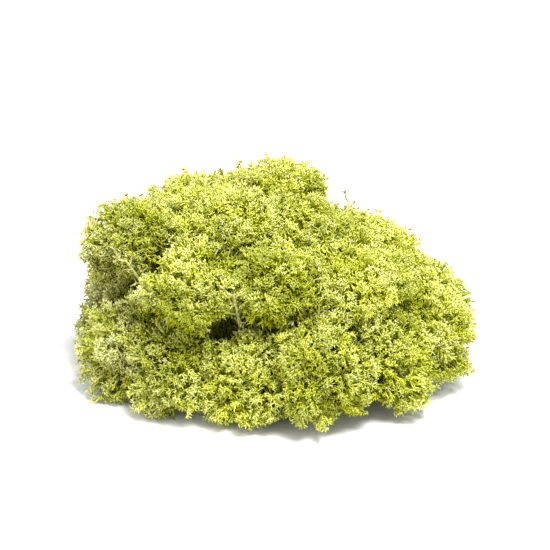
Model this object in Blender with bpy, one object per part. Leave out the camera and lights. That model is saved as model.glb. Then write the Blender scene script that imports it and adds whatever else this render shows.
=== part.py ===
# Reindeer moss clump: a picked cushion of reindeer lichen lying on its stem ends.
#
# Each podetium, the lichen's own stalk, is one solid: a thin stem that stands on the surface, a rounded
# crown that it carries, and forked branchlets all over the crown. The podetia fan out from one point
# under the cushion, and each keeps to its own cone of space round that fan's centre, so that the crowns
# pack side by side without crossing. Bare dry stems stand between the crowns.
#
# Metres, +Z up. The origin is on the surface, under the middle of the cushion.

import math

import bmesh
import bpy
import numpy as np
from mathutils import Matrix

# The cushion's outline, tips included: a bun, widest a little above the surface.
CLUMP_WIDTH = 0.095
CLUMP_DEPTH = 0.081
CLUMP_HEIGHT = 0.049
WIDEST_HEIGHT = 0.018
BUN_POWER = 2.4

# The fan of podetia.
FAN_CENTRE = np.array([0.0, 0.0, -0.022])
PODETIUM_COUNT = 24
FAN_ANGLE = math.radians(50.0)
GOLDEN_ANGLE = math.pi * (3.0 - math.sqrt(5.0))
FAN_TURN = math.radians(-56.0)
SETTLING_ROUNDS = 14
SETTLING_SAMPLES = 4000
ANGLE_JITTER = 0.012
CROWN_SIZE_SPREAD = 0.005
HEIGHT_JITTER = 0.0014
CELL_CLEARANCE = 0.00016
FLOOR_CLEARANCE = 0.0005
CORE_CELL_CLEARANCE = 0.00035
CORE_FLOOR_CLEARANCE = 0.0028

# The crown nearest each of these plan places is raised or sunk: a knob at the top, towards the back, a
# high shoulder and a steep flank on the left, a hollow low in the front, left of its middle, and a slope
# that falls from the knob to a full right side.
UNEVEN_CROWNS = (
    ((-0.001, 0.013), 0.0050),
    ((-0.023, 0.018), 0.0030),
    ((-0.035, -0.002), 0.0065),
    ((-0.037, 0.021), 0.0045),
    ((-0.024, 0.037), 0.0040),
    ((-0.047, 0.004), -0.0015),
    ((0.022, 0.024), -0.0055),
    ((0.031, 0.004), -0.0035),
    ((-0.007, -0.040), -0.0035),
    ((0.003, -0.028), -0.0010),
    ((0.026, -0.022), -0.0015),
    ((0.014, -0.038), 0.0020),
    ((0.034, -0.028), 0.0025),
)

# One podetium.
FOOT_RADIUS = 0.0011
NECK_RADIUS = 0.0015
MAIN_FOOT_RADIUS = 0.0021
CROWN_RADIUS = 0.0155
CROWN_HALF_HEIGHT = 0.0100
RIM_CROWN_SHARE = 0.84
NECK_BELOW_CENTRE = 1.15
NECK_SHARE = 0.35
CROWN_RINGS = (math.radians(112), math.radians(70), math.radians(34))
CORE_SIDES = 10

# One forked branchlet.
BRANCHLET_HEIGHT = 0.0044
BRANCHLET_SPACING = 0.0052
BRANCHLET_RADIUS = 0.0014
BRANCHLET_SPREAD = 0.0031
PRONGS = 3
FORK_SHARE = 0.42
NOTCH_SHARE = 0.75
ROOT_DEPTH = 0.0016
LEADER_HEIGHT = 0.0075
LEADER_EVERY = 3
LOWEST_BRANCHLET = math.radians(108)
LONGEST_BEND = 0.0024
WALL_LEAN = 2.5
DEEPEST_SQUEEZE = 0.16
CLEARANCE_SPREAD = 0.0005

# The bare dry stems: rough plan place of each tip, and how far it stands past the cushion's outline.
DRY_STEMS = (((-0.029, -0.014), 0.0), ((-0.009, -0.032), -0.0025), ((0.028, 0.004), -0.0040))
DRY_STEM_SEARCH = 0.0035
DRY_STEM_RADIUS = 0.00110
DRY_STEM_ROOM = 0.0034
DRY_STEM_SIDES = 5

FAN_SEED = 11
BRANCHLET_SEED = 3

LICHEN = ("lichen", (0.42, 0.48, 0.06), 0.85)
DRY_STEM = ("dry_stem", (0.42, 0.33, 0.18), 0.8)


def clear_scene():
    for item in list(bpy.data.objects):
        bpy.data.objects.remove(item, do_unlink=True)


def make_material(name, colour, roughness):
    material = bpy.data.materials.new(name)
    material.use_nodes = True
    shader = material.node_tree.nodes["Principled BSDF"]
    shader.inputs["Base Color"].default_value = (*colour, 1.0)
    shader.inputs["Roughness"].default_value = roughness
    shader.inputs["Metallic"].default_value = 0.0
    return material


def bun_value(point):
    """Below 1 inside the cushion's outline, 1 on it."""
    across = math.hypot(point[0] / (CLUMP_WIDTH / 2), point[1] / (CLUMP_DEPTH / 2))
    half = CLUMP_HEIGHT - WIDEST_HEIGHT if point[2] > WIDEST_HEIGHT else WIDEST_HEIGHT
    return across**BUN_POWER + (abs(point[2] - WIDEST_HEIGHT) / half) ** BUN_POWER


def reach(direction):
    """How far from the fan's centre a line in this direction leaves the cushion's outline."""
    inside, outside = 0.052, 0.12
    for _ in range(30):
        middle = (inside + outside) / 2
        if bun_value(FAN_CENTRE + middle * direction) < 1:
            inside = middle
        else:
            outside = middle
    return inside


def direction_over(place):
    """The fan direction whose line leaves the cushion over this plan place."""
    height = CLUMP_HEIGHT * 0.9
    for _ in range(6):
        way = np.array([place[0], place[1], height]) - FAN_CENTRE
        way /= np.linalg.norm(way)
        height = (FAN_CENTRE + reach(way) * way)[2]
    return way


def golden_fan(count):
    """Unit directions spread over the fan by the golden angle, wider along X than along Y."""
    k = np.arange(count)
    tilt = np.arccos(1 - (k + 0.5) / count * (1 - math.cos(FAN_ANGLE)))
    turn = k * GOLDEN_ANGLE + FAN_TURN
    ways = np.stack(
        [
            np.sin(tilt) * np.cos(turn) * CLUMP_WIDTH / CLUMP_DEPTH,
            np.sin(tilt) * np.sin(turn),
            np.cos(tilt),
        ],
        axis=1,
    )
    return ways / np.linalg.norm(ways, axis=1, keepdims=True)


def fan_directions(rng):
    """The podetia's directions: each settles amid its own share of the fan, then strays a little."""
    samples = golden_fan(SETTLING_SAMPLES)
    directions = golden_fan(PODETIUM_COUNT)
    for _ in range(SETTLING_ROUNDS):
        nearest = np.argmax(samples @ directions.T, axis=1)
        directions = np.array([samples[nearest == k].mean(axis=0) for k in range(PODETIUM_COUNT)])
        directions /= np.linalg.norm(directions, axis=1, keepdims=True)
    directions = directions + rng.normal(0, ANGLE_JITTER, directions.shape)
    directions /= np.linalg.norm(directions, axis=1, keepdims=True)
    order = np.argsort(-directions[:, 2])
    return [directions[k] for k in order]


def direction_between(place, directions, weights, rng):
    """The fan direction near this plan place that lies deepest between the crowns, and its weight."""
    best, best_weight = None, 2.0
    for shift in rng.normal(0, DRY_STEM_SEARCH, (150, 2)):
        way = direction_over(np.array(place) + shift)
        weight = max(weight * (way @ other) for weight, other in zip(weights, directions))
        if weight < best_weight:
            best, best_weight = way, weight
    return best, best_weight + DRY_STEM_ROOM


def cell_planes(index, directions, weights):
    """Unit normals, pointing out, of the planes through the fan's centre that bound one podetium's cone."""
    own = weights[index] * directions[index]
    normals = []
    for other, way in enumerate(directions):
        if other != index:
            normal = weights[other] * way - own
            normals.append(normal / np.linalg.norm(normal))
    return np.array(normals)


def room_across(distance, way, side, planes):
    """How far from the podetium's axis, towards side, its cone and the surface below leave room."""
    room = CROWN_RADIUS * 3
    for normal in planes:
        facing = normal @ side
        if facing > 1e-6:
            room = min(room, (-CORE_CELL_CLEARANCE - distance * (normal @ way)) / facing)
    if side[2] < -1e-6:
        height = FAN_CENTRE[2] + distance * way[2] - CORE_FLOOR_CLEARANCE
        room = min(room, height / -side[2])
    return max(room, 0.0003)


def bent_clear(points, planes, rng):
    """Moves points that lie outside the cone back inside it, each to its own distance from the plane."""
    spare = rng.uniform(0, CLEARANCE_SPREAD, len(points))
    points = points - FAN_CENTRE
    for _ in range(4):
        for normal in planes:
            over = np.maximum(points @ normal + CELL_CLEARANCE + spare, 0)
            points = points - over[:, None] * normal
    points = points + FAN_CENTRE
    points[:, 2] = np.maximum(points[:, 2], FLOOR_CLEARANCE + spare)
    return points


def side_ways(way, sides, turn=0.0):
    """Unit vectors square to way, evenly round it."""
    across = np.cross(way, [0.0, 1.0, 0.0])
    across /= np.linalg.norm(across)
    along = np.cross(way, across)
    angles = [turn + 2 * math.pi * k / sides for k in range(sides)]
    return [math.cos(a) * across + math.sin(a) * along for a in angles]


def foot_ring(way, radius, sides):
    """The stem's outline where it meets the surface, all of it at height zero."""
    ring = []
    for side in side_ways(way, sides):
        distance = (-FAN_CENTRE[2] - radius * side[2]) / way[2]
        point = FAN_CENTRE + distance * way + radius * side
        ring.append((point[0], point[1], 0.0))
    return ring


def mesh_from_rings(name, rings, top):
    """Rings of equal count from the foot up, closed by a flat foot and one top point."""
    sides = len(rings[0])
    mesh = bmesh.new()
    corners = [[mesh.verts.new(point) for point in ring] for ring in rings]
    for lower, upper in zip(corners, corners[1:]):
        for k in range(sides):
            n = (k + 1) % sides
            mesh.faces.new((lower[k], lower[n], upper[n], upper[k]))
    tip = mesh.verts.new(top)
    for k in range(sides):
        mesh.faces.new((corners[-1][k], corners[-1][(k + 1) % sides], tip))
    mesh.faces.new(list(reversed(corners[0])))
    bmesh.ops.triangulate(mesh, faces=mesh.faces[:])
    bmesh.ops.recalc_face_normals(mesh, faces=mesh.faces[:])
    data = bpy.data.meshes.new(name)
    mesh.to_mesh(data)
    mesh.free()
    item = bpy.data.objects.new(name, data)
    bpy.context.scene.collection.objects.link(item)
    return item


def crown_point(podetium, polar, side):
    """A point on the crown's core: polar is 0 at its top and a right angle round its widest part."""
    distance = podetium["centre"] + CROWN_HALF_HEIGHT * math.cos(polar)
    room = room_across(distance, podetium["way"], side, podetium["planes"])
    across = min(podetium["radius"] * math.sin(polar), room)
    return FAN_CENTRE + distance * podetium["way"] + across * side


def core(name, podetium):
    """Stem and crown of one podetium, without its branchlets."""
    way, planes = podetium["way"], podetium["planes"]
    sides = side_ways(way, CORE_SIDES)
    rings = [foot_ring(way, podetium["foot"], CORE_SIDES)]
    start = -FAN_CENTRE[2] / way[2]
    neck = podetium["centre"] - NECK_BELOW_CENTRE * CROWN_HALF_HEIGHT
    neck = max(neck, start + NECK_SHARE * (podetium["centre"] - start))
    rings.append([FAN_CENTRE + neck * way + NECK_RADIUS * side for side in sides])
    for polar in CROWN_RINGS:
        rings.append([crown_point(podetium, polar, side) for side in sides])
    top = FAN_CENTRE + (podetium["centre"] + CROWN_HALF_HEIGHT) * way
    return mesh_from_rings(name, rings, top)


def branchlet(name, root, lean, height, turn, planes, rng):
    """A forked branchlet: a three-sided stem that opens into pointed prongs, bent inside the cone."""
    sides = side_ways(lean, PRONGS * 2, turn)
    base = [root + BRANCHLET_RADIUS * sides[2 * k] for k in range(PRONGS)]
    fork = root + FORK_SHARE * height * lean
    notch = [fork + NOTCH_SHARE * BRANCHLET_RADIUS * sides[2 * k + 1] for k in range(PRONGS)]
    tips = [root + height * lean + BRANCHLET_SPREAD * sides[2 * k] for k in range(PRONGS)]
    straight = np.array(base + notch + tips)
    bent = bent_clear(straight, planes, rng)
    if np.linalg.norm(bent - straight, axis=1).max() > LONGEST_BEND:
        return None
    upper = bent[PRONGS:]
    mesh = bmesh.new()
    low = [mesh.verts.new(point) for point in bent[:PRONGS]]
    mid = [mesh.verts.new(point) for point in upper[:PRONGS]]
    high = [mesh.verts.new(point) for point in upper[PRONGS:]]
    for k in range(PRONGS):
        n = (k + 1) % PRONGS
        mesh.faces.new((low[k], low[n], mid[k]))
        mesh.faces.new((low[k], mid[k], high[k]))
        mesh.faces.new((low[n], high[n], mid[k]))
        mesh.faces.new((high[n], mid[n], mid[k]))
    mesh.faces.new(mid)
    mesh.faces.new(list(reversed(low)))
    bmesh.ops.recalc_face_normals(mesh, faces=mesh.faces[:])
    data = bpy.data.meshes.new(name)
    mesh.to_mesh(data)
    mesh.free()
    return bpy.data.objects.new(name, data)


def even_polar_angles(radius, lowest):
    """Polar angles that spread branchlets evenly over the flattened crown, from its top down to lowest."""
    angles = np.linspace(0, lowest, 200)
    slant = np.hypot(radius * np.cos(angles), CROWN_HALF_HEIGHT * np.sin(angles))
    area = np.cumsum(2 * math.pi * radius * np.sin(angles) * slant) * (angles[1] - angles[0])
    count = round(area[-1] / BRANCHLET_SPACING**2)
    wanted = (np.arange(count) + 0.5) / count * area[-1]
    return np.interp(wanted, area, angles)


def branchlets(name, podetium, rng):
    """Branchlets turned by the golden angle, each on the one before, over all of the crown that shows."""
    radius, way = podetium["radius"], podetium["way"]
    found = []
    for k, polar in enumerate(even_polar_angles(radius, LOWEST_BRANCHLET)):
        turn = k * GOLDEN_ANGLE + podetium["turn"]
        side = side_ways(way, 1, turn)[0]
        height = BRANCHLET_HEIGHT * rng.uniform(0.85, 1.1)
        if k == 0 and podetium["leader"]:
            height = LEADER_HEIGHT
        tilt = rng.normal(0, 0.12, 3)
        skin = crown_point(podetium, polar, side)
        squeeze = 1 - (skin - FAN_CENTRE) @ side / (radius * math.sin(polar))
        if squeeze > DEEPEST_SQUEEZE:
            continue
        out = CROWN_HALF_HEIGHT * math.sin(polar) * side + radius * math.cos(polar) * way
        out /= np.linalg.norm(out)
        lean = out + (0.25 + WALL_LEAN * squeeze) * way + tilt
        lean /= np.linalg.norm(lean)
        tall = height + ROOT_DEPTH
        root = skin - ROOT_DEPTH * out
        made = branchlet(f"{name}_branchlet_{k}", root, lean, tall, turn, podetium["planes"], rng)
        if made:
            found.append(made)
    return found


def keep_largest_shell(data):
    """Drops loose scraps, and the inner shells of hollows that the union sealed."""
    mesh = bmesh.new()
    mesh.from_mesh(data)
    left = set(mesh.faces)
    shells = []
    while left:
        shell = []
        front = [left.pop()]
        while front:
            face = front.pop()
            shell.append(face)
            for edge in face.edges:
                for near in edge.link_faces:
                    if near in left:
                        left.remove(near)
                        front.append(near)
        shells.append(shell)
    shells.sort(key=len)
    for shell in shells[:-1]:
        bmesh.ops.delete(mesh, geom=shell, context="FACES")
    mesh.to_mesh(data)
    mesh.free()


def join(item, repeats):
    """One Boolean union of an object with a collection of repeats, applied; the repeats are removed."""
    group = bpy.data.collections.new(item.name + "_repeats")
    bpy.context.scene.collection.children.link(group)
    for repeat in repeats:
        group.objects.link(repeat)
    union = item.modifiers.new("join", "BOOLEAN")
    union.operation = "UNION"
    union.operand_type = "COLLECTION"
    union.collection = group
    union.solver = "MANIFOLD"
    graph = bpy.context.evaluated_depsgraph_get()
    joined = bpy.data.meshes.new_from_object(item.evaluated_get(graph))
    item.modifiers.clear()
    item.data = joined
    keep_largest_shell(joined)
    for repeat in repeats:
        bpy.data.objects.remove(repeat, do_unlink=True)
    bpy.data.collections.remove(group)


def podetia(directions, weights, rng):
    """The sizes of each podetium, from its direction."""
    tops = np.array([FAN_CENTRE + reach(way) * way for way in directions[:PODETIUM_COUNT]])
    rises = rng.normal(0, HEIGHT_JITTER, PODETIUM_COUNT)
    for place, rise in UNEVEN_CROWNS:
        rises[np.argmin(np.linalg.norm(tops[:, :2] - place, axis=1))] = rise
    found = []
    for k in range(PODETIUM_COUNT):
        way = directions[k]
        steep = math.acos(way[2]) / FAN_ANGLE
        radius = CROWN_RADIUS * rng.uniform(0.93, 1.07) * (1 - (1 - RIM_CROWN_SHARE) * steep**2)
        found.append(
            {
                "way": way,
                "radius": radius,
                "centre": reach(way) + rises[k] - BRANCHLET_HEIGHT - CROWN_HALF_HEIGHT,
                "planes": cell_planes(k, directions, weights),
                "foot": MAIN_FOOT_RADIUS if k == 0 else FOOT_RADIUS,
                "turn": rng.uniform(0, 2 * math.pi),
                "leader": k % LEADER_EVERY == 0,
            }
        )
    return found


def dry_stem(name, way, length, planes, rng):
    """A bare stem that tapers a little and ends in a blunt point."""
    start = -FAN_CENTRE[2] / way[2]
    room = min(room_across(start, way, side, planes) for side in side_ways(way, 16))
    room += CORE_CELL_CLEARANCE - CELL_CLEARANCE
    rings = [foot_ring(way, min(DRY_STEM_RADIUS, room), DRY_STEM_SIDES)]
    for share, size in ((0.45, 1.0), (0.8, 0.9), (0.97, 0.7)):
        middle = FAN_CENTRE + (start + (length - start) * share) * way
        ring = [middle + DRY_STEM_RADIUS * size * side for side in side_ways(way, DRY_STEM_SIDES)]
        rings.append([tuple(point) for point in bent_clear(np.array(ring), planes, rng)])
    return mesh_from_rings(name, rings, tuple(FAN_CENTRE + length * way))


def stand_over_origin(items):
    """Moves all the solids sideways together, so that the middle of their common box is over the origin."""
    corners = np.array([vertex.co for item in items for vertex in item.data.vertices])
    middle = (corners.min(axis=0) + corners.max(axis=0)) / 2
    for item in items:
        item.data.transform(Matrix.Translation((-middle[0], -middle[1], 0.0)))
    print(f"moved by {-middle[0]:.6f} {-middle[1]:.6f}")


def main():
    clear_scene()
    rng = np.random.default_rng(FAN_SEED)
    lichen = make_material(*LICHEN)
    dry = make_material(*DRY_STEM)
    directions = fan_directions(rng)
    weights = [1 + rng.uniform(-CROWN_SIZE_SPREAD, CROWN_SIZE_SPREAD) for _ in directions]
    for place, _ in DRY_STEMS:
        way, weight = direction_between(place, directions, weights, rng)
        directions.append(way)
        weights.append(weight)
    crowns = podetia(directions, weights, rng)
    rng = np.random.default_rng(BRANCHLET_SEED)
    total = 0
    items = []
    for k, podetium in enumerate(crowns):
        name = f"podetium_{k + 1:02d}"
        item = core(name, podetium)
        repeats = branchlets(name, podetium, rng)
        join(item, repeats)
        item.data.materials.append(lichen)
        items.append(item)
        total += len(repeats)
    for k, (_, past) in enumerate(DRY_STEMS):
        index = PODETIUM_COUNT + k
        way = directions[index]
        planes = cell_planes(index, directions, weights)
        item = dry_stem(f"dry_stem_{k + 1}", way, reach(way) + past, planes, rng)
        item.data.materials.append(dry)
        items.append(item)
    stand_over_origin(items)
    print(f"{PODETIUM_COUNT} podetia with {total} branchlets, {len(DRY_STEMS)} dry stems")


main()
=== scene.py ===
import math

import bpy
import numpy as np
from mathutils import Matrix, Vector


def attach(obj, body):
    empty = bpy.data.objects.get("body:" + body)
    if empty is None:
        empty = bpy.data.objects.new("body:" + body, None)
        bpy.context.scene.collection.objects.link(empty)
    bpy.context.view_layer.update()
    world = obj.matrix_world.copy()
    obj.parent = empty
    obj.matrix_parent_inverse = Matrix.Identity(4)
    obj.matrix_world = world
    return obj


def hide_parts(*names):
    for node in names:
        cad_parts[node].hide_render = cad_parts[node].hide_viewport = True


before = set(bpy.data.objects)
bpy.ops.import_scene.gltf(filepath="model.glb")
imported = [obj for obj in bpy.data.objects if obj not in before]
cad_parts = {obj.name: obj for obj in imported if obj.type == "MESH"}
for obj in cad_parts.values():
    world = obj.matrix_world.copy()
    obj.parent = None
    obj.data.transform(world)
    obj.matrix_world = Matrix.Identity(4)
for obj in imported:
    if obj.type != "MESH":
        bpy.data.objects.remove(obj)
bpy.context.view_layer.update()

goldenAngle = math.pi * (3.0 - math.sqrt(5.0))

# The fan of podetia, in metres and radians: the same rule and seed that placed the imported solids.
fan = {
    "width": 0.095, "depth": 0.081, "height": 0.049, "widest": 0.018, "power": 2.4,    # the outer form
    "centre": np.array([0.0, 0.0, -0.022]),          # under the floor; all axes meet here
    "shift": np.array([-0.001222, 0.000256, 0.0]),   # from the fan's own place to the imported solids'
    "count": 24, "angle": math.radians(50.0), "turn": math.radians(-56.0),
    "rounds": 14, "samples": 4000, "stray": 0.012, "sizeSpread": 0.005, "heightSpread": 0.0014,
    "crownRadius": 0.0155, "halfHeight": 0.0100, "rimShare": 0.84, "branchlet": 0.0044,
    "neckBelow": 1.15, "neckShare": 0.35, "leaderEvery": 3,
    # (x, y) over a head, and how far its top passes the outer form
    "uneven": (((-0.001, 0.013), 0.0050), ((-0.023, 0.018), 0.0030), ((-0.035, -0.002), 0.0065),
               ((-0.037, 0.021), 0.0045), ((-0.024, 0.037), 0.0040), ((-0.047, 0.004), -0.0015),
               ((0.022, 0.024), -0.0055), ((0.031, 0.004), -0.0035), ((-0.007, -0.040), -0.0035),
               ((0.003, -0.028), -0.0010), ((0.026, -0.022), -0.0015), ((0.014, -0.038), 0.0020),
               ((0.034, -0.028), 0.0025)),
    # (x, y) over a dry stem, and how far its end passes the outer form
    "dryStems": (((-0.029, -0.014), 0.0), ((-0.009, -0.032), -0.0025), ((0.028, 0.004), -0.0040)),
    "drySearch": 0.0035, "dryTries": 150, "dryHeight": 0.9, "dryRounds": 6, "dryRoom": 0.0034,
    "nearest": 0.052, "farthest": 0.12, "halvings": 30, "radiusRange": (0.93, 1.07), "seed": 11,
}


def unit(vectors):
    # each vector over its own length
    return vectors / np.linalg.norm(vectors, axis=-1, keepdims=True)


def reach(ways):
    # distance from the fan's centre at which (across / ellipse)^power + (height / half height)^power = 1,
    # found by halving the span from nearest to farthest
    inside = np.full(len(ways), fan["nearest"])
    outside = np.full(len(ways), fan["farthest"])
    for _ in range(fan["halvings"]):
        middle = (inside + outside) / 2
        point = fan["centre"] + middle[:, None] * ways
        across = np.hypot(point[:, 0] / (fan["width"] / 2), point[:, 1] / (fan["depth"] / 2))
        half = np.where(point[:, 2] > fan["widest"], fan["height"] - fan["widest"], fan["widest"])
        value = across ** fan["power"] + (abs(point[:, 2] - fan["widest"]) / half) ** fan["power"]
        inside = np.where(value < 1, middle, inside)
        outside = np.where(value < 1, outside, middle)
    return inside


def goldenFan(count):
    # direction k: turn = k * golden angle, and the cosine of its tilt falls evenly with k
    k = np.arange(count)
    tilt = np.arccos(1 - (k + 0.5) / count * (1 - math.cos(fan["angle"])))
    turn = k * goldenAngle + fan["turn"]
    wide = fan["width"] / fan["depth"]
    flat = np.sin(tilt)
    return unit(np.stack([flat * np.cos(turn) * wide, flat * np.sin(turn), np.cos(tilt)], axis=1))


def fanDirections(rng):
    # each direction moves to the mean of the samples nearest to it, again and again, then strays a little
    samples = goldenFan(fan["samples"])
    ways = goldenFan(fan["count"])
    for _ in range(fan["rounds"]):
        owner = np.argmax(samples @ ways.T, axis=1)
        ways = unit(np.array([samples[owner == k].mean(axis=0) for k in range(len(ways))]))
    ways = unit(ways + rng.normal(0, fan["stray"], ways.shape))
    return ways[np.argsort(-ways[:, 2])]


def directionBetween(place, ways, weights, rng):
    # of the directions over plan places near this one, that with the smallest greatest weight * cosine
    places = np.array(place) + rng.normal(0, fan["drySearch"], (fan["dryTries"], 2))
    height = np.full(len(places), fan["height"] * fan["dryHeight"])
    for _ in range(fan["dryRounds"]):
        tried = unit(np.column_stack([places, height]) - fan["centre"])
        height = fan["centre"][2] + reach(tried) * tried[:, 2]
    cover = (weights * (tried @ ways.T)).max(axis=1)
    best = np.argmin(cover)
    return tried[best], cover[best] + fan["dryRoom"]


def cellPlanes(index, ways, weights):
    # wall's normal = other weight * other direction - own weight * own direction, made unit
    others = np.delete(weights[:, None] * ways, index, axis=0)
    return unit(others - weights[index] * ways[index])


def sideWays(way):
    # two unit vectors square to way and to each other
    across = unit(np.cross(way, [0.0, 1.0, 0.0]))
    return across, np.cross(way, across)


def layOut():
    # every podetium's axis, crown size and cone walls, and every dry stem's axis and length
    rng = np.random.default_rng(fan["seed"])
    ways = fanDirections(rng)
    weights = np.array([1 + rng.uniform(-fan["sizeSpread"], fan["sizeSpread"]) for _ in ways])
    for place, _ in fan["dryStems"]:
        way, weight = directionBetween(place, ways, weights, rng)
        ways = np.vstack([ways, way])
        weights = np.append(weights, weight)
    reached = reach(ways)
    tops = (fan["centre"] + reached[:, None] * ways)[: fan["count"]]
    rises = rng.normal(0, fan["heightSpread"], fan["count"])
    for place, rise in fan["uneven"]:
        rises[np.argmin(np.linalg.norm(tops[:, :2] - place, axis=1))] = rise
    crowns = []
    for k in range(fan["count"]):
        steep = math.acos(ways[k][2]) / fan["angle"]
        rim = 1 - (1 - fan["rimShare"]) * steep**2
        radius = fan["crownRadius"] * rng.uniform(*fan["radiusRange"]) * rim
        rng.uniform(0, 2 * math.pi)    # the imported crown's own turn, which its branchlets alone use
        crowns.append({"way": ways[k], "radius": radius, "planes": cellPlanes(k, ways, weights),
                       "centre": reached[k] + rises[k] - fan["branchlet"] - fan["halfHeight"],
                       "leader": k % fan["leaderEvery"] == 0})
    stems = []
    for k, (_, past) in enumerate(fan["dryStems"]):
        index = fan["count"] + k
        stems.append({"way": ways[index], "length": reached[index] + past})
    return crowns, stems


# Twigs are closed tubes. The lichen's material reads two values on their points: rise is 0 at the old foot
# and about 1 at the young tips, and lower on tips deep in the crown and in the hollows between domes and
# tufts, partly older tissue and partly painted shade; tint is one number a twig.
twig = {
    "floorZone": 0.0008, "stemSides": 6, "capRise": 0.7, "offZero": 1e-9,
    "stemTint": 0.5, "oldTint": (0, 0.9),            # under deadFrom, so that none looks like a dead tip
    "blunt": 0.5,                                    # under 1 keeps a pointed twig thick to near its end
    "leave": 0.7, "leaveStray": 0.22,                # how far a limb keeps its parent's way, and strays
    "arrive": 0.8, "arriveStray": 0.2,
}


def centreLine(start, startWay, end, endWay, curl, share):
    # Hermite curve through start and end, with end slopes curl * chord length * way, and its unit tangent
    t = share[None, :, None]
    slope = curl * np.linalg.norm(end - start, axis=1, keepdims=True)
    p0, p1 = start[:, None], end[:, None]
    m0, m1 = (startWay * slope)[:, None], (endWay * slope)[:, None]
    line = (2 * t**3 - 3 * t**2 + 1) * p0 + (t**3 - 2 * t**2 + t) * m0
    line = line + (3 * t**2 - 2 * t**3) * p1 + (t**3 - t**2) * m1
    tangent = (6 * t**2 - 6 * t) * (p0 - p1) + (3 * t**2 - 4 * t + 1) * m0 + (3 * t**2 - 2 * t) * m1
    return line, unit(tangent)


def tubeFaces(sides, rings):
    # quads between each two rings, a fan of triangles to the apex, and one flat cap on the foot
    k = np.arange(sides)
    n = (k + 1) % sides
    ring = np.arange(rings - 1)[:, None] * sides
    quads = np.stack([ring + k, ring + n, ring + sides + n, ring + sides + k], axis=-1).reshape(-1, 4)
    last = (rings - 1) * sides
    tris = np.stack([last + k, last + n, np.full(sides, rings * sides)], axis=-1)
    if sides == 3:
        return quads, np.vstack([tris, [2, 1, 0]])
    cap = [[0, sides - j - 1, sides - j - 2, sides - j - 3] for j in range(0, sides - 2, 2)]
    return np.vstack([quads, cap]), tris


def tubes(start, startWay, end, endWay, startRadius, endRadius, sides, segments, rng, pointed=False,
          curl=1.0):
    # ring point = line point + radius * (cos a * normal + sin a * binormal); the radius runs evenly along
    # the curve, and the rings of a pointed tube lie at (their share of the length) ^ blunt
    count = len(start)
    share = np.linspace(0, 1, segments + 1) ** (twig["blunt"] if pointed else 1.0)
    line, tangent = centreLine(start, startWay, end, endWay, curl, share)
    hint = unit(np.cross(end - start, rng.normal(0, 1, (count, 3))))[:, None]
    normal = unit(hint - (hint * tangent).sum(-1, keepdims=True) * tangent)
    binormal = np.cross(tangent, normal)
    angle = np.arange(sides) * 2 * math.pi / sides
    spoke = np.cos(angle)[:, None] * normal[:, :, None] + np.sin(angle)[:, None] * binormal[:, :, None]
    radius = startRadius[:, None] + (endRadius - startRadius)[:, None] * share
    rings = segments if pointed else segments + 1
    around = (line[:, :, None] + radius[:, :, None, None] * spoke)[:, :rings].reshape(count, -1, 3)
    over = 0.0 if pointed else twig["capRise"]
    apex = end[:, None] + over * endRadius[:, None, None] * tangent[:, -1:]
    points = np.concatenate([around, apex], axis=1)
    along = np.concatenate([np.repeat(share[:rings], sides), [1.0]])
    quads, tris = tubeFaces(sides, rings)
    size = points.shape[1]
    offset = (np.arange(count) * size)[:, None, None]
    return {"points": points.reshape(-1, 3), "quads": (quads + offset).reshape(-1, 4),
            "tris": (tris + offset).reshape(-1, 3), "along": np.tile(along, count), "size": size}


def limbs(starts, startWays, ends, endWays, startRadius, endRadius, sides, segments, rng, pointed=False):
    # tubes whose first way = leave * parent's way + way to the end + stray, and whose last way = arrive *
    # the given way + way to the end + stray
    toward = unit(ends - starts + twig["offZero"])
    count = len(ends)
    leave = unit(twig["leave"] * startWays + toward + rng.normal(0, twig["leaveStray"], (count, 3)))
    arrive = unit(twig["arrive"] * endWays + toward + rng.normal(0, twig["arriveStray"], (count, 3)))
    radii = np.full(count, startRadius), np.full(count, endRadius)
    return tubes(starts, leave, ends, arrive, *radii, sides, segments, rng, pointed)


def withValues(part, startRise, endRise, tint):
    # rise runs evenly from its start to its end value along each twig
    size = part["size"]
    part["rise"] = np.repeat(startRise, size) + np.repeat(endRise - startRise, size) * part["along"]
    part["tint"] = np.repeat(tint, size)
    return part


def aboveFloor(points):
    # a height under the zone's becomes zone * e^(height / zone - 1), so that nothing passes the floor
    zone = twig["floorZone"]
    low = zone * np.exp(np.minimum(points[:, 2], zone) / zone - 1)
    points[:, 2] = np.where(points[:, 2] < zone, low, points[:, 2])
    return points


def makePiece(name, parts, material):
    # all of a piece's tubes in one mesh, moved by the fan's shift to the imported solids' place
    points = aboveFloor(np.concatenate([part["points"] for part in parts]) + fan["shift"])
    base = np.cumsum([0] + [len(part["points"]) for part in parts])
    quads = np.concatenate([part["quads"] + base[k] for k, part in enumerate(parts)])
    tris = np.concatenate([part["tris"] + base[k] for k, part in enumerate(parts)])
    mesh = bpy.data.meshes.new(name)
    mesh.vertices.add(len(points))
    mesh.vertices.foreach_set("co", points.astype(np.float32).ravel())
    mesh.loops.add(quads.size + tris.size)
    mesh.loops.foreach_set("vertex_index", np.concatenate([quads.ravel(), tris.ravel()]).astype(np.int32))
    mesh.polygons.add(len(quads) + len(tris))
    starts = np.concatenate([np.arange(len(quads)) * 4, quads.size + np.arange(len(tris)) * 3])
    mesh.polygons.foreach_set("loop_start", starts.astype(np.int32))
    mesh.update(calc_edges=True)
    mesh.polygons.foreach_set("use_smooth", np.ones(len(starts), dtype=bool))
    for key in ("rise", "tint"):
        values = np.concatenate([part[key] for part in parts]).astype(np.float32)
        mesh.attributes.new(key, "FLOAT", "POINT").data.foreach_set("value", values)
    mesh.materials.append(material)
    mesh.validate()
    piece = bpy.data.objects.new(name, mesh)
    bpy.context.scene.collection.objects.link(piece)
    return piece


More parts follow.
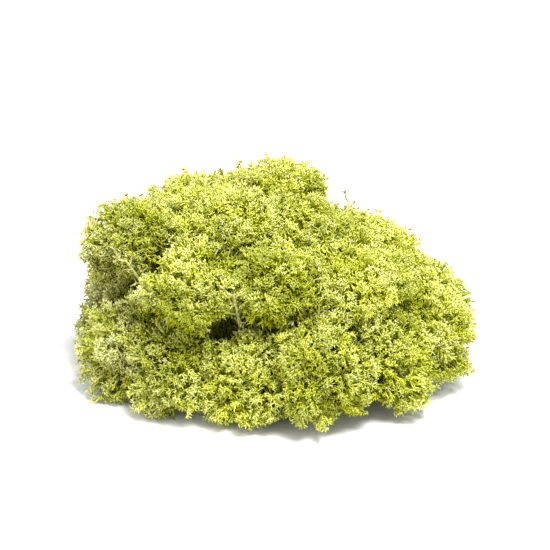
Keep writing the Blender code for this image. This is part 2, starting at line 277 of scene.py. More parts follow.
# One lichen head: a neck, limbs under rounded domes, small tufts over the domes, and star tips on the tufts.
head = {
    "stemRadius": 0.0011, "limbRadius": 0.0008, "twigRadius": 0.00048, "stalkRadius": 0.0003,
    "limbFoot": 0.8, "stalkFoot": 1.3, "stalkTip": 0.6,    # shares of the stem's and the stalks' radius
    "stemSegments": 6, "stemRise": 0.25,
    "sunkFoot": 0.002,                               # below the floor, which aboveFloor presses flat
    "forkShare": 0.45, "twigShare": 0.7,             # where limbs fork and twigs end, from the neck outwards
    "rootsPerTwig": 3,
    # sides, segments, and rise from and to, of limbs, twigs and tuft stalks
    "levels": ((4, 4, 0.25, 0.4), (4, 3, 0.4, 0.5), (3, 3, 0.5, 0.66)),
    "domes": 8, "domeShare": 0.95, "domeJitter": 0.2, "topFirst": 0.1,
    # a dome's edge lies lower than its middle, and so does a tuft's; both edges are also coloured darker,
    # painted shade of the hollows, partly also older tissue
    "domeDepth": 0.0030, "domePaintedShade": 0.20, "domePower": 2.4, "domeMost": 1.7,
    "tuftPitch": 0.0036, "tuftDepth": 0.0015, "tuftPaintedShade": 0.12, "tuftMost": 1.6, "tuftHalf": 0.56,
    "tuftRise": 0.0008, "tuftRoot": 0.0036, "tuftJitter": 0.3, "leaderRise": 0.0024,
    "tipLift": 0.0030, "rough": 0.00032, "straggle": 0.0011, "stragglers": 0.06, "jitter": 0.5,
    "gather": 0.14, "sway": 0.7,                     # tips drawn to a tuft's middle, and its own lean
    "slopeOut": 0.002, "slopeIn": 0.003, "slopePolar": 0.93,    # the crown's slope is taken between these
    "tintOfTuft": 0.6, "tintOfTip": 0.35, "deadShare": 0.98,
    "stalkRise": 0.7, "stalkUnder": 0.1,             # a tip's stalk is older, so darker, than its star
    "stalkSides": 3, "stalkSegments": 1,
    # from the outside in: the tips' spacing and depth, how squeezed they may be, the share of the crown that
    # they cover, their rise, and the star on each; the lower rise of deeper layers colours them darker:
    # painted shade inside the crown, partly also older tissue
    "layers": (
        {"pitch": 0.00123, "sunk": 0.0, "back": 0.0, "squeeze": 1.15, "share": 1.0, "rise": 1.0,
         "pointed": False, "rays": 5, "length": 0.00112, "radius": 0.00017, "segments": 2},
        {"pitch": 0.0019, "sunk": 0.0012, "back": 0.001, "squeeze": 1.3, "share": 1.0, "rise": 0.89,
         "pointed": True, "rays": 4, "length": 0.0016, "radius": 0.00024, "segments": 1},
        {"pitch": 0.0023, "sunk": 0.0032, "back": 0.004, "squeeze": 2.0, "share": 0.93, "rise": 0.77,
         "pointed": True, "rays": 4, "length": 0.0024, "radius": 0.00042, "segments": 1},
        {"pitch": 0.0029, "sunk": 0.0068, "back": 0.006, "squeeze": 2.4, "share": 0.85, "rise": 0.67,
         "pointed": True, "rays": 4, "length": 0.0034, "radius": 0.00060, "segments": 1},
    ),
    "lowest": math.radians(112), "areaRings": 300, "mostSqueeze": 1.15, "leastSine": 0.2, "leastPolar": 0.01,
    "wallClear": 0.0004, "wallStray": 0.0007, "floorClear": 0.0012, "leastRoom": 0.0003, "mostRoom": 1.0,
    "leastFacing": 1e-6,                             # a wall that the side way hardly faces sets no limit
    "flankFrom": -0.018, "flankTo": -0.042, "flankSparse": 0.15,      # x of the thin, worn side
    "seed": 500,
}


def roomAcross(crown, distance, side):
    # room from the axis to the side: the least of (-clearance - distance * wall . axis) / (wall . side) over
    # the walls, and of (height - clearance) / the side way's fall over the floor
    least, most = head["leastFacing"], head["mostRoom"]
    facing = side @ crown["planes"].T
    offset = -head["wallClear"] - distance[:, None] * (crown["planes"] @ crown["way"])
    room = np.where(facing > least, offset / np.maximum(facing, least), most).min(axis=1)
    height = fan["centre"][2] + distance * crown["way"][2] - head["floorClear"]
    down = -side[:, 2]
    room = np.minimum(room, np.where(down > least, height / np.maximum(down, least), most))
    return np.maximum(room, head["leastRoom"])


def crownPoints(crown, polar, turn, lift, stray=0.0):
    # point = fan's centre + (crown's centre + (half height + lift) * cos polar) * axis + across * side,
    # where across = (radius + lift) * sin polar, or the room that the cone's walls and the floor leave,
    # give or take stray, so that neighbours meet in a ragged seam; squeeze = wanted across / room
    across, along = sideWays(crown["way"])
    side = np.cos(turn)[:, None] * across + np.sin(turn)[:, None] * along
    distance = crown["centre"] + (fan["halfHeight"] + lift) * np.cos(polar)
    wanted = (crown["radius"] + lift) * np.sin(polar)
    room = np.maximum(roomAcross(crown, distance, side) + stray, head["leastRoom"])
    points = fan["centre"] + distance[:, None] * crown["way"] + np.minimum(wanted, room)[:, None] * side
    return points, wanted / room


def crownArea(crown):
    # summed rings: circumference * slant of the flattened crown, from its top to its lowest tips
    polar = np.linspace(0, head["lowest"], head["areaRings"])
    slant = np.hypot(crown["radius"] * np.cos(polar), fan["halfHeight"] * np.sin(polar))
    area = np.cumsum(2 * math.pi * crown["radius"] * np.sin(polar) * slant) * (polar[1] - polar[0])
    return polar, area


def spread(crown, count, share, rng, jitter, first=0.5):
    # golden-angle spiral whose polar angles share out the crown's area evenly, each place then moved by
    # jitter * the spacing; first is 0 where the spiral starts on the crown's very top
    polar, area = crownArea(crown)
    at = np.interp((np.arange(count) + first) / count * area[-1] * share, area, polar)
    turn = np.arange(count) * goldenAngle + rng.uniform(0, 2 * math.pi)
    step = math.sqrt(2 / count) * jitter
    at = np.clip(at + rng.normal(0, step, count), head["leastPolar"], head["lowest"])
    return at, turn + rng.normal(0, step, count) / np.maximum(np.sin(at), head["leastSine"])


def nearest(points, others):
    # for each point, the number of the other point with the smallest squared distance
    return np.argmin(((points[:, None] - others[None]) ** 2).sum(-1), axis=1)


def flankShare(points):
    # 0 on the full side to 1 on the thin side, as a smooth step of x
    t = np.clip((points[:, 0] - head["flankFrom"]) / (head["flankTo"] - head["flankFrom"]), 0, 1)
    return t * t * (3 - 2 * t)


def domeFall(crown, flat):
    # (distance to the nearest dome's middle / dome's radius) ^ domePower, held under domeMost
    away = np.linalg.norm(flat - crown["domes"][nearest(flat, crown["domes"])], axis=1)
    return np.minimum((away / crown["domeRadius"]) ** head["domePower"], head["domeMost"])


def plantTufts(crown, top, rng):
    # domes and tufts on golden-angle spirals; a tuft's root lies tuftRoot under its own tips
    _, area = crownArea(crown)
    crown["area"] = area[-1]
    crown["domeRadius"] = math.sqrt(area[-1] / head["domes"] / math.pi)
    polar, turn = spread(crown, head["domes"], head["domeShare"], rng, head["domeJitter"], head["topFirst"])
    crown["domes"], _ = crownPoints(crown, polar, turn, np.zeros(len(polar)))
    count = round(area[-1] / head["tuftPitch"] ** 2)
    polar, turn = spread(crown, count, 1.0, rng, head["tuftJitter"])
    flat, squeeze = crownPoints(crown, polar, turn, np.zeros(count))
    kept = squeeze < head["mostSqueeze"]
    polar, turn, flat = polar[kept], turn[kept], flat[kept]
    rises = rng.normal(0, head["tuftRise"], len(flat))
    if crown["leader"]:
        rises[0] += head["leaderRise"]
    crown["tufts"], crown["tuftRises"], crown["tints"] = flat, rises, rng.uniform(0, 1, len(flat))
    crown["sways"] = unit(rng.normal(0, 1, flat.shape))
    lift = head["tipLift"] - head["tuftRoot"] + rises - head["domeDepth"] * domeFall(crown, flat)
    crown["roots"], _ = crownPoints(crown, polar, turn, lift)
    crown["rootWays"] = unit(crown["roots"] - top)


def tipPlaces(crown, grown, rng):
    # height = lift - sunk - dome depth * dome fall - tuft depth * (distance to the tuft's middle / its
    # radius) ^ 2 + the tuft's rise + roughness; gather draws tips in to their tuft's middle; a tip points
    # away from its tuft's root, straightened by back * the crown's own slope, and sways with its tuft
    count = round(crown["area"] * grown["share"] / grown["pitch"] ** 2)
    polar, turn = spread(crown, count, grown["share"], rng, head["jitter"])
    flat, squeeze = crownPoints(crown, polar, turn, np.zeros(count))
    kept = squeeze < grown["squeeze"]
    kept &= rng.uniform(0, 1, count) > head["flankSparse"] * flankShare(flat)
    polar, turn, flat = polar[kept], turn[kept], flat[kept]
    dome = domeFall(crown, flat)
    owner = nearest(flat, crown["tufts"])
    away = np.linalg.norm(flat - crown["tufts"][owner], axis=1) / (head["tuftHalf"] * head["tuftPitch"])
    fall = np.minimum(away**2, head["tuftMost"])
    lifts = head["tipLift"] - grown["sunk"] - head["domeDepth"] * dome
    lifts = lifts - head["tuftDepth"] * fall + crown["tuftRises"][owner]
    lifts = lifts + rng.normal(0, head["rough"], len(flat))
    lifts = lifts + head["straggle"] * (rng.uniform(0, 1, len(flat)) < head["stragglers"])
    stray = rng.normal(0, head["wallStray"], len(flat))
    points, _ = crownPoints(crown, polar, turn, lifts, stray)
    points = points + head["gather"] * (crown["tufts"][owner] - flat)
    outer, _ = crownPoints(crown, polar, turn, lifts + head["slopeOut"])
    inner, _ = crownPoints(crown, polar * head["slopePolar"], turn, lifts - head["slopeIn"])
    ways = unit(points - crown["roots"][owner] + grown["back"] * unit(outer - inner))
    ways = unit(ways + head["sway"] * crown["sways"][owner])
    # the last value is the tip's painted shade: darker toward a dome's or a tuft's edge, in the hollows
    # between them, partly also older tissue
    return points, ways, owner, 1 - head["domePaintedShade"] * dome - head["tuftPaintedShade"] * fall


# A star of short rays, as the lichen's branchlets end in.
star = {
    "sides": 3, "sink": 0.5, "turnStray": 0.35, "spread": 0.85, "spreadRange": (0.7, 1.4), "wayStray": 0.16,
    "longRange": (0.65, 1.25), "thickRange": (0.8, 1.15), "endThick": 0.8,
    "startUp": 0.35, "startOut": 1.3,                # a ray leaves mostly sideways
    "endUp": (-0.4, 1.8), "endIn": 0.15, "endStray": 0.5, "curl": 1.6,
    "risesBy": (-0.10, 0.06),                        # rise at a ray's root and end, over the tip's
}


def stars(points, ways, rise, tint, rays, length, radius, segments, rng):
    # ray j leaves at j / rays of a turn; its far end = root + length * (way + spread * side + stray), made
    # unit, and its end way turns up or down by endUp and in by endIn
    count = len(points) * rays
    way = np.repeat(ways, rays, axis=0)
    root = np.repeat(points, rays, axis=0) - way * radius * star["sink"]
    hint = np.repeat(unit(np.cross(ways, rng.normal(0, 1, ways.shape))), rays, axis=0)
    turn = np.tile(np.arange(rays) * 2 * math.pi / rays, len(points))
    turn = turn + rng.normal(0, star["turnStray"], count)
    side = np.cos(turn)[:, None] * hint + np.sin(turn)[:, None] * np.cross(way, hint)
    lean = star["spread"] * rng.uniform(*star["spreadRange"], (count, 1))
    far = unit(way + lean * side + rng.normal(0, star["wayStray"], (count, 3)))
    end = root + length * rng.uniform(*star["longRange"], (count, 1)) * far
    startWay = unit(star["startUp"] * way + star["startOut"] * side)
    endWay = way * rng.uniform(*star["endUp"], (count, 1)) - star["endIn"] * side
    endWay = unit(endWay + rng.normal(0, star["endStray"], (count, 3)))
    thick = radius * rng.uniform(*star["thickRange"], count)
    part = tubes(root, startWay, end, endWay, thick, thick * star["endThick"], star["sides"], segments, rng,
                 True, star["curl"])
    low, high = star["risesBy"]
    rise = np.repeat(rise, rays)
    return withValues(part, rise + low, rise + high, np.repeat(tint, rays))


# Old, dead twigs in the room under a crown.
litter = {
    "count": 44, "from": (0.1, 0.95), "up": (0.05, 0.35), "least": 0.12, "under": 0.4, "out": (0.4, 0.92),
    "sides": 3, "segments": 3, "rise": 0.12, "gain": 0.2,
    "starRise": 0.3, "rays": 4, "rayLength": 0.0025, "rayRadius": 0.00036, "raySegments": 1,
}


def layLitter(crown, foot, top, rng):
    # twig k leaves the stem at a random share of its height, turned by k * golden angle, climbs a little and
    # ends at a random share of the room to its side, in a star
    count = litter["count"]
    across, along = sideWays(crown["way"])
    turn = np.arange(count) * goldenAngle
    side = np.cos(turn)[:, None] * across + np.sin(turn)[:, None] * along
    share = rng.uniform(*litter["from"], count)
    root = foot + share[:, None] * (top - foot)
    low = np.linalg.norm(foot - fan["centre"])
    high = crown["centre"] - litter["under"] * fan["halfHeight"]
    distance = low + (high - low) * np.clip(share + rng.uniform(*litter["up"], count), litter["least"], 1)
    room = np.minimum(roomAcross(crown, distance, side), crown["radius"])
    end = fan["centre"] + distance[:, None] * crown["way"]
    end = end + (room * rng.uniform(*litter["out"], count))[:, None] * side
    ways = np.repeat(crown["way"][None], count, axis=0)
    tint = rng.uniform(*twig["oldTint"], count)
    part = limbs(root, ways, end, side, head["twigRadius"], head["stalkRadius"], litter["sides"],
                 litter["segments"], rng)
    rise = np.full(count, litter["rise"])
    ends = stars(end, unit(side + ways), rise + litter["starRise"], tint, litter["rays"],
                 litter["rayLength"], litter["rayRadius"], litter["raySegments"], rng)
    return [withValues(part, rise, rise + litter["gain"], tint), ends]


def growBranches(crown, top, rng):
    # limbs from the neck to a fork under each dome, twigs from the nearest fork, and from the nearest twig a
    # stalk to each tuft's root; rise runs over the level's range along each
    forks = top + (crown["domes"] - top) * head["forkShare"]
    forkWays = unit(crown["domes"] - top)
    twigEnds = top + (crown["roots"][::head["rootsPerTwig"]] - top) * head["twigShare"]
    twigWays = unit(twigEnds - top)
    fork = nearest(twigEnds, forks)
    bough = nearest(crown["roots"], twigEnds)
    necks = np.repeat(top[None], len(forks), axis=0)
    neckWays = np.repeat(crown["way"][None], len(forks), axis=0)
    grown = (
        (necks, neckWays, forks, forkWays, head["stemRadius"] * head["limbFoot"], head["limbRadius"]),
        (forks[fork], forkWays[fork], twigEnds, twigWays, head["limbRadius"], head["twigRadius"]),
        (twigEnds[bough], twigWays[bough], crown["roots"], crown["rootWays"],
         head["twigRadius"], head["stalkRadius"] * head["stalkFoot"]),
    )
    parts = []
    for level, (sides, segments, low, high) in zip(grown, head["levels"]):
        part = limbs(*level, sides, segments, rng)
        count = len(level[0])
        tint = rng.uniform(*twig["oldTint"], count)
        parts.append(withValues(part, np.full(count, low), np.full(count, high), tint))
    return parts


def growTips(crown, rng):
    # each layer's stalks from the tuft roots, and a star on each
    parts = []
    for grown in head["layers"]:
        tips, ways, owner, shade = tipPlaces(crown, grown, rng)
        own = rng.uniform(0, 1, len(tips))
        tint = head["tintOfTuft"] * crown["tints"][owner] + head["tintOfTip"] * own
        tint[own > head["deadShare"]] = 1.0
        # a tip's rise is its layer's, darkened by the painted shade of the hollows between domes and tufts
        rise = grown["rise"] * shade
        part = limbs(crown["roots"][owner], crown["rootWays"][owner], tips, ways, head["stalkRadius"],
                     head["stalkRadius"] * head["stalkTip"], head["stalkSides"], head["stalkSegments"], rng,
                     grown["pointed"])
        parts.append(withValues(part, rise * head["stalkRise"], rise - head["stalkUnder"], tint))
        parts.append(stars(tips, ways, rise, tint, grown["rays"], grown["length"], grown["radius"],
                           grown["segments"], rng))
    return parts


def growHead(index, crown, material):
    # stem from the floor to the neck, then branches, layers of tips and the old twigs
    rng = np.random.default_rng(head["seed"] + index)
    way = crown["way"]
    start = -fan["centre"][2] / way[2]
    neck = max(crown["centre"] - fan["neckBelow"] * fan["halfHeight"],
               start + fan["neckShare"] * (crown["centre"] - start))
    foot, top = fan["centre"] + start * way, fan["centre"] + neck * way
    plantTufts(crown, top, rng)
    sunk = foot - head["sunkFoot"] * way
    thick = np.array([head["stemRadius"]])
    stem = tubes(sunk[None], way[None], top[None], way[None], thick, thick, twig["stemSides"],
                 head["stemSegments"], rng)
    parts = [withValues(stem, np.zeros(1), np.full(1, head["stemRise"]), np.full(1, twig["stemTint"]))]
    parts += growBranches(crown, top, rng) + growTips(crown, rng) + layLitter(crown, foot, top, rng)
    piece = makePiece(f"lichen_{index + 1:02d}", parts, material)
    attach(piece, "root")
    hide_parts(f"podetium_{index + 1:02d}")
    return piece


# One bare dry stem between the heads, with short dead side twigs near its top.
dryStem = {
    "radius": 0.00055, "tipRadius": 0.00028, "segments": 14, "sunkFoot": 0.002, "shorter": 0.0012,
    "bend": 0.10, "rise": (0.2, 1.0),
    "twigs": 14, "twigRadius": 0.0003, "twigLength": 0.0030, "longRange": (0.6, 1.1), "upRange": (0.6, 1.4),
    "lowest": 0.55, "highest": 0.99, "twigSides": 4, "twigSegments": 4, "twigRise": (0.4, 0.8),
    "rays": 3, "rayLength": 0.0015, "rayRadius": 0.00022, "raySegments": 3, "rayUp": 1.4, "seed": 40,
}


def growDryStem(index, stem, material):
    # curved tube along the stem's axis; side twig k turns by k * golden angle and ends in a star
    rng = np.random.default_rng(dryStem["seed"] + index)
    way = stem["way"]
    across, along = sideWays(way)
    foot = fan["centre"] - (fan["centre"][2] / way[2] + dryStem["sunkFoot"]) * way
    end = fan["centre"] + (stem["length"] - dryStem["shorter"]) * way
    leave = unit(way + dryStem["bend"] * across)
    arrive = unit(way - dryStem["bend"] * along)
    part = tubes(foot[None], leave[None], end[None], arrive[None], np.array([dryStem["radius"]]),
                 np.array([dryStem["tipRadius"]]), twig["stemSides"], dryStem["segments"], rng)
    low, high = dryStem["rise"]
    parts = [withValues(part, np.full(1, low), np.full(1, high), np.full(1, twig["stemTint"]))]
    count = dryStem["twigs"]
    ways = np.repeat(way[None], count, axis=0)
    share = np.linspace(dryStem["lowest"], dryStem["highest"], count)
    root = foot + share[:, None] * (end - foot)
    turn = np.arange(count) * goldenAngle
    side = np.cos(turn)[:, None] * across + np.sin(turn)[:, None] * along
    long = dryStem["twigLength"] * rng.uniform(*dryStem["longRange"], (count, 1))
    tips = root + long * unit(side + way * rng.uniform(*dryStem["upRange"], (count, 1)))
    tint = rng.uniform(0, 1, count)
    part = limbs(root, side, tips, ways, dryStem["twigRadius"], dryStem["rayRadius"], dryStem["twigSides"],
                 dryStem["twigSegments"], rng)
    low, high = dryStem["twigRise"]
    parts.append(withValues(part, np.full(count, low), np.full(count, high), tint))
    parts.append(stars(tips, unit(side + dryStem["rayUp"] * way), np.ones(count), tint, dryStem["rays"],
                       dryStem["rayLength"], dryStem["rayRadius"], dryStem["raySegments"], rng))
    piece = makePiece(f"straw_{index + 1}", parts, material)
    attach(piece, "root")
    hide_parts(f"dry_stem_{index + 1}")


def node(tree, kind, place, **values):
    # a node of this kind at this place in the editor, with its settings
    made = tree.nodes.new(kind)
    made.location = place
    for key, value in values.items():
        setattr(made, key, value)
    return made


def join(tree, source, target):
    # a number or colour goes on the socket, another node's output is linked to it
    if hasattr(source, "links"):
        tree.links.new(source, target)
    else:
        target.default_value = source


def mixColour(tree, place, factor, first, second, blend="MIX"):
    # colour = first * (1 - factor) + blend of first and second * factor
    made = node(tree, "ShaderNodeMix", place, data_type="RGBA", blend_type=blend)
    for number, value in ((0, factor), (6, first), (7, second)):
        join(tree, value, made.inputs[number])
    return made.outputs[2]


def mapRange(tree, place, value, low, high, outLow=0.0, outHigh=1.0):
    # outLow up to low, outHigh from high on, and a smooth step t * t * (3 - 2 * t) between them
    made = node(tree, "ShaderNodeMapRange", place, interpolation_type="SMOOTHSTEP")
    for number, given in enumerate((value, low, high, outLow, outHigh)):
        join(tree, given, made.inputs[number])
    return made.outputs[0]


def multiply(tree, place, first, second):
    # value = first * second
    made = node(tree, "ShaderNodeMath", place, operation="MULTIPLY")
    join(tree, first, made.inputs[0])
    join(tree, second, made.inputs[1])
    return made.outputs[0]


def noise(tree, place, coords, scale, detail, roughness=0.55):
    # fractal noise, 0 to 1: each octave has double the scale and roughness * the height of the one before
    made = node(tree, "ShaderNodeTexNoise", place)
    given = {"Vector": coords, "Scale": scale, "Detail": detail, "Roughness": roughness}
    for key, value in given.items():
        join(tree, value, made.inputs[key])
    return made.outputs["Fac"]


def ramp(tree, place, value, stops):
    # colour runs evenly from each stop to the next, for (position, colour) stops
    made = node(tree, "ShaderNodeValToRGB", place)
    elements = made.color_ramp.elements
    elements[0].position, elements[1].position = stops[0][0], stops[-1][0]
    for position, _ in stops[1:-1]:
        elements.new(position)
    for element, (_, colour) in zip(elements, stops):
        element.color = (*colour, 1)
    join(tree, value, made.inputs["Fac"])
    return made.outputs["Color"]


# The skin that lichen and dry straw share: a felt of fine fibres with small warts.
feltLook = {
    "detail": 3.0, "roughness": 0.6, "feltShare": 0.6,
    "wartScale": 2.2, "wartEdge": 0.7, "wartShare": 0.4,
    "heights": (0.3, 0.75), "roughest": 0.95, "smoothest": 0.75,
    "glowRadius": (1.0, 0.9, 0.2), "glowScale": 0.0010,    # how far light spreads inside, by colour
}


def feltGroup():
    # height = feltShare * noise + wartShare * a smooth fall from a wart's middle to its edge; shade and
    # roughness are that height mapped to their ranges
    group = bpy.data.node_groups.new("felty_skin", "ShaderNodeTree")
    sockets = (
        ("Coordinates", "INPUT", "Vector"), ("Scale", "INPUT", "Float"),
        ("Darkest", "INPUT", "Float"), ("Lightest", "INPUT", "Float"),
        ("Shade", "OUTPUT", "Float"), ("Roughness", "OUTPUT", "Float"), ("Height", "OUTPUT", "Float"),
    )
    for name, way, kind in sockets:
        group.interface.new_socket(name=name, in_out=way, socket_type="NodeSocket" + kind)
    entry = node(group, "NodeGroupInput", (-900, 0))
    coords, scale, darkest, lightest = (entry.outputs[k] for k in range(4))
    felt = noise(group, (-650, 150), coords, scale, feltLook["detail"], feltLook["roughness"])
    warts = node(group, "ShaderNodeTexVoronoi", (-650, -150))
    group.links.new(coords, warts.inputs["Vector"])
    wartScale = multiply(group, (-800, -250), scale, feltLook["wartScale"])
    group.links.new(wartScale, warts.inputs["Scale"])
    wart = mapRange(group, (-450, -150), warts.outputs["Distance"], 0.0, feltLook["wartEdge"],
                    feltLook["wartShare"], 0.0)
    height = node(group, "ShaderNodeMath", (-250, 0), operation="MULTIPLY_ADD")
    group.links.new(felt, height.inputs[0])
    height.inputs[1].default_value = feltLook["feltShare"]
    group.links.new(wart, height.inputs[2])
    leave = node(group, "NodeGroupOutput", (200, 0))
    low, high = feltLook["heights"]
    shade = mapRange(group, (0, 150), height.outputs[0], low, high, darkest, lightest)
    rough = mapRange(group, (0, -50), height.outputs[0], low, high, feltLook["roughest"],
                     feltLook["smoothest"])
    for number, source in enumerate((shade, rough, height.outputs[0])):
        group.links.new(source, leave.inputs[number])
    return group


def feltyMaterial(name, felt, look, colour):
    # base colour = what colour(tree, coords) gives * the felty skin's shade
    material = bpy.data.materials.new(name)
    material.use_nodes = True
    tree = material.node_tree
    shader = tree.nodes["Principled BSDF"]
    coords = node(tree, "ShaderNodeTexCoord", (-2000, 0)).outputs["Object"]
    skin = node(tree, "ShaderNodeGroup", (-700, -300), node_tree=felt)
    tree.links.new(coords, skin.inputs["Coordinates"])
    for key in ("Scale", "Darkest", "Lightest"):
        skin.inputs[key].default_value = look[key.lower()]
    shaded = mixColour(tree, (-300, 0), 1.0, colour(tree, coords), skin.outputs["Shade"], "MULTIPLY")
    tree.links.new(shaded, shader.inputs["Base Color"])
    tree.links.new(skin.outputs["Roughness"], shader.inputs["Roughness"])
    bump = node(tree, "ShaderNodeBump", (-300, -400))
    bump.inputs["Strength"].default_value = look["bump"]
    bump.inputs["Distance"].default_value = look["depth"]
    tree.links.new(skin.outputs["Height"], bump.inputs["Height"])
    tree.links.new(bump.outputs["Normal"], shader.inputs["Normal"])
    shader.inputs["Specular IOR Level"].default_value = look["specular"]
    shader.inputs["Subsurface Weight"].default_value = look["subsurface"]
    shader.inputs["Subsurface Radius"].default_value = feltLook["glowRadius"]
    shader.inputs["Subsurface Scale"].default_value = feltLook["glowScale"]
    return material


def pointValue(tree, place, name):
    # the number that the mesh's points hold under this name
    return node(tree, "ShaderNodeAttribute", place, attribute_name=name).outputs["Fac"]


# Young tips are pale yellow-green, older branches olive, and the foot olive-brown; the worn side is greyer.
# Through rise, the darker stops also paint the shade in the crown's hollows and deep inside it.
lichenLook = {
    "young": ((0.0, (0.26, 0.235, 0.008)), (0.35, (0.37, 0.38, 0.010)), (0.60, (0.52, 0.55, 0.022)),
              (0.78, (0.57, 0.605, 0.074)), (0.90, (0.655, 0.685, 0.145)), (1.0, (0.745, 0.765, 0.265))),
    "worn": ((0.0, (0.18, 0.17, 0.05)), (0.35, (0.25, 0.24, 0.08)), (0.60, (0.38, 0.38, 0.14)),
             (0.80, (0.51, 0.51, 0.23)), (1.0, (0.68, 0.68, 0.36))),
    "wornScale": 120.0, "wornDetail": 2.0, "wornRange": (0.38, 0.6), "wornMost": 0.8,
    "olive": (0.60, 0.63, 0.38, 1), "oliveScale": 52.0, "oliveDetail": 2.0, "oliveRange": (0.46, 0.62),
    "tintRange": (0.1, 0.85), "tintShade": (0.85, 1.10),
    "deadFrom": 0.98, "deadEdge": 0.01, "deadTip": (0.62, 0.57, 0.24, 1),
    "scale": 900.0, "darkest": 0.86, "lightest": 1.06, "bump": 0.5, "depth": 0.0002,
    "specular": 0.05, "subsurface": 0.45,
}


def lichenColour(tree, coords):
    # colour = ramp by rise, mixed with the worn ramp in blotches on the thin side, * olive patches * the
    # tint's shade; a dead tip has its own colour; where rise carries painted shade, the ramps paint the
    # hollows darker
    look = lichenLook
    rise = pointValue(tree, (-1800, -300), "rise")
    tint = pointValue(tree, (-1800, -500), "tint")
    place = node(tree, "ShaderNodeSeparateXYZ", (-1800, 300))
    tree.links.new(coords, place.inputs[0])
    flank = mapRange(tree, (-1600, 300), place.outputs[0], head["flankFrom"], head["flankTo"])
    blotch = noise(tree, (-1800, 500), coords, look["wornScale"], look["wornDetail"])
    blotch = mapRange(tree, (-1600, 500), blotch, *look["wornRange"], 0.0, look["wornMost"])
    worn = multiply(tree, (-1400, 400), flank, blotch)
    young = ramp(tree, (-1500, 0), rise, look["young"])
    old = ramp(tree, (-1500, -300), rise, look["worn"])
    colour = mixColour(tree, (-1200, 0), worn, young, old)
    patches = noise(tree, (-1600, 700), coords, look["oliveScale"], look["oliveDetail"])
    patches = mapRange(tree, (-1400, 700), patches, *look["oliveRange"])
    tone = mixColour(tree, (-1200, 300), patches, (1, 1, 1, 1), look["olive"])
    colour = mixColour(tree, (-1000, 0), 1.0, colour, tone, "MULTIPLY")
    shade = mapRange(tree, (-1200, -500), tint, *look["tintRange"], *look["tintShade"])
    colour = mixColour(tree, (-800, 0), 1.0, colour, shade, "MULTIPLY")
    dead = mapRange(tree, (-1000, -500), tint, look["deadFrom"], look["deadFrom"] + look["deadEdge"])
    return mixColour(tree, (-600, 0), dead, colour, look["deadTip"])


# Dry straw, streaked from dull to light along the stems.
strawLook = {
    "dull": (0.36, 0.34, 0.10, 1), "light": (0.60, 0.58, 0.20, 1),
    "streakScale": 900.0, "streakDetail": 4.0, "streakSquash": (1.0, 1.0, 0.25), "streakRange": (0.35, 0.65),
    "scale": 700.0, "darkest": 0.7, "lightest": 1.1, "bump": 0.6, "depth": 0.0002,
    "specular": 0.1, "subsurface": 0.1,
}


def strawColour(tree, coords):
    # dull to light straw by noise, whose streaks lie along z because z is squashed before it
    flat = node(tree, "ShaderNodeMapping", (-1500, 0))
    flat.inputs["Scale"].default_value = strawLook["streakSquash"]
    tree.links.new(coords, flat.inputs["Vector"])
    streaks = noise(tree, (-1300, 0), flat.outputs[0], strawLook["streakScale"], strawLook["streakDetail"])
    streaks = mapRange(tree, (-1100, 0), streaks, *strawLook["streakRange"])
    return mixColour(tree, (-900, 0), streaks, strawLook["dull"], strawLook["light"])


# Pale floor, even sky and two lamps, and the camera at the photo's angle.
studio = {
    "floor": (0.72, 0.72, 0.715, 1), "floorHalf": 3.0, "floorRough": 0.9,
    "sky": (1.0, 1.0, 1.0, 1), "skyStrength": 1.27,
    "key": ((0.16, -0.32, 0.72), 0.26, 13.2), "fill": ((-0.6, -0.4, 0.4), 0.5, 1.2),    # place, size, power
    "aim": (0, 0, 0.02),
    "lens": 205.7, "sensor": 36.0, "distance": 0.78, "rise": math.radians(23.0),
    "target": (0.0, 0.0, 0.0255),
}


def faceTo(item, aim):
    # turned so that its own -z points at aim and its y is up
    item.rotation_euler = (Vector(aim) - item.location).to_track_quat("-Z", "Y").to_euler()
    bpy.context.scene.collection.objects.link(item)


def addLight(name, place, size, power):
    # square lamp that faces the studio's aim
    data = bpy.data.lights.new(name, "AREA")
    data.size = size
    data.energy = power
    item = bpy.data.objects.new(name, data)
    item.location = place
    faceTo(item, studio["aim"])


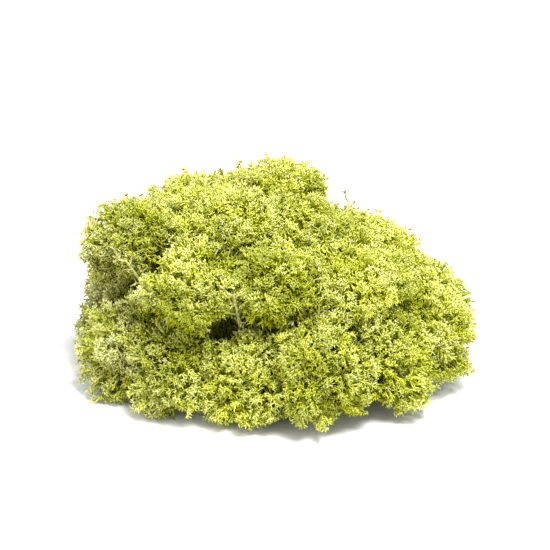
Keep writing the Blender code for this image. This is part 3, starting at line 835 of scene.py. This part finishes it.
def layFloor():
    # one square, 2 * floorHalf on a side, at z = 0
    half = studio["floorHalf"]
    corners = [(-half, -half, 0), (half, -half, 0), (half, half, 0), (-half, half, 0)]
    data = bpy.data.meshes.new("floor")
    data.from_pydata(corners, [], [(0, 1, 2, 3)])
    floor = bpy.data.objects.new("floor", data)
    bpy.context.scene.collection.objects.link(floor)
    material = bpy.data.materials.new("floor")
    material.use_nodes = True
    shader = material.node_tree.nodes["Principled BSDF"]
    shader.inputs["Base Color"].default_value = studio["floor"]
    shader.inputs["Roughness"].default_value = studio["floorRough"]
    data.materials.append(material)


def setCamera():
    # place = target + distance * (0, -cos rise, sin rise)
    data = bpy.data.cameras.new("camera")
    data.lens = studio["lens"]
    data.sensor_width = studio["sensor"]
    item = bpy.data.objects.new("camera", data)
    back = Vector((0, -math.cos(studio["rise"]), math.sin(studio["rise"])))
    item.location = Vector(studio["target"]) + studio["distance"] * back
    faceTo(item, studio["target"])
    bpy.context.scene.camera = item


def setStudio():
    # floor, sky, lamps, camera and the view transform
    layFloor()
    world = bpy.data.worlds.new("studio")
    world.use_nodes = True
    sky = world.node_tree.nodes["Background"]
    sky.inputs["Color"].default_value = studio["sky"]
    sky.inputs["Strength"].default_value = studio["skyStrength"]
    bpy.context.scene.world = world
    addLight("key", *studio["key"])
    addLight("fill", *studio["fill"])
    setCamera()
    bpy.context.scene.view_settings.view_transform = "Standard"


crowns, dryStems = layOut()
print("laid out", len(crowns), "heads and", len(dryStems), "dry stems")
setStudio()
print("studio set")
felt = feltGroup()
lichen = feltyMaterial("lichen_tissue", felt, lichenLook, lichenColour)
straw = feltyMaterial("dry_straw", felt, strawLook, strawColour)
print("materials made")
total = 0
for index, crown in enumerate(crowns):
    piece = growHead(index, crown, lichen)
    piece.data.calc_loop_triangles()
    total += len(piece.data.loop_triangles)
    if index % 6 == 0:
        print(piece.name, len(piece.data.loop_triangles), "triangles")
print("heads grown,", total, "triangles")
for index, stem in enumerate(dryStems):
    growDryStem(index, stem, straw)
print("dry stems grown")
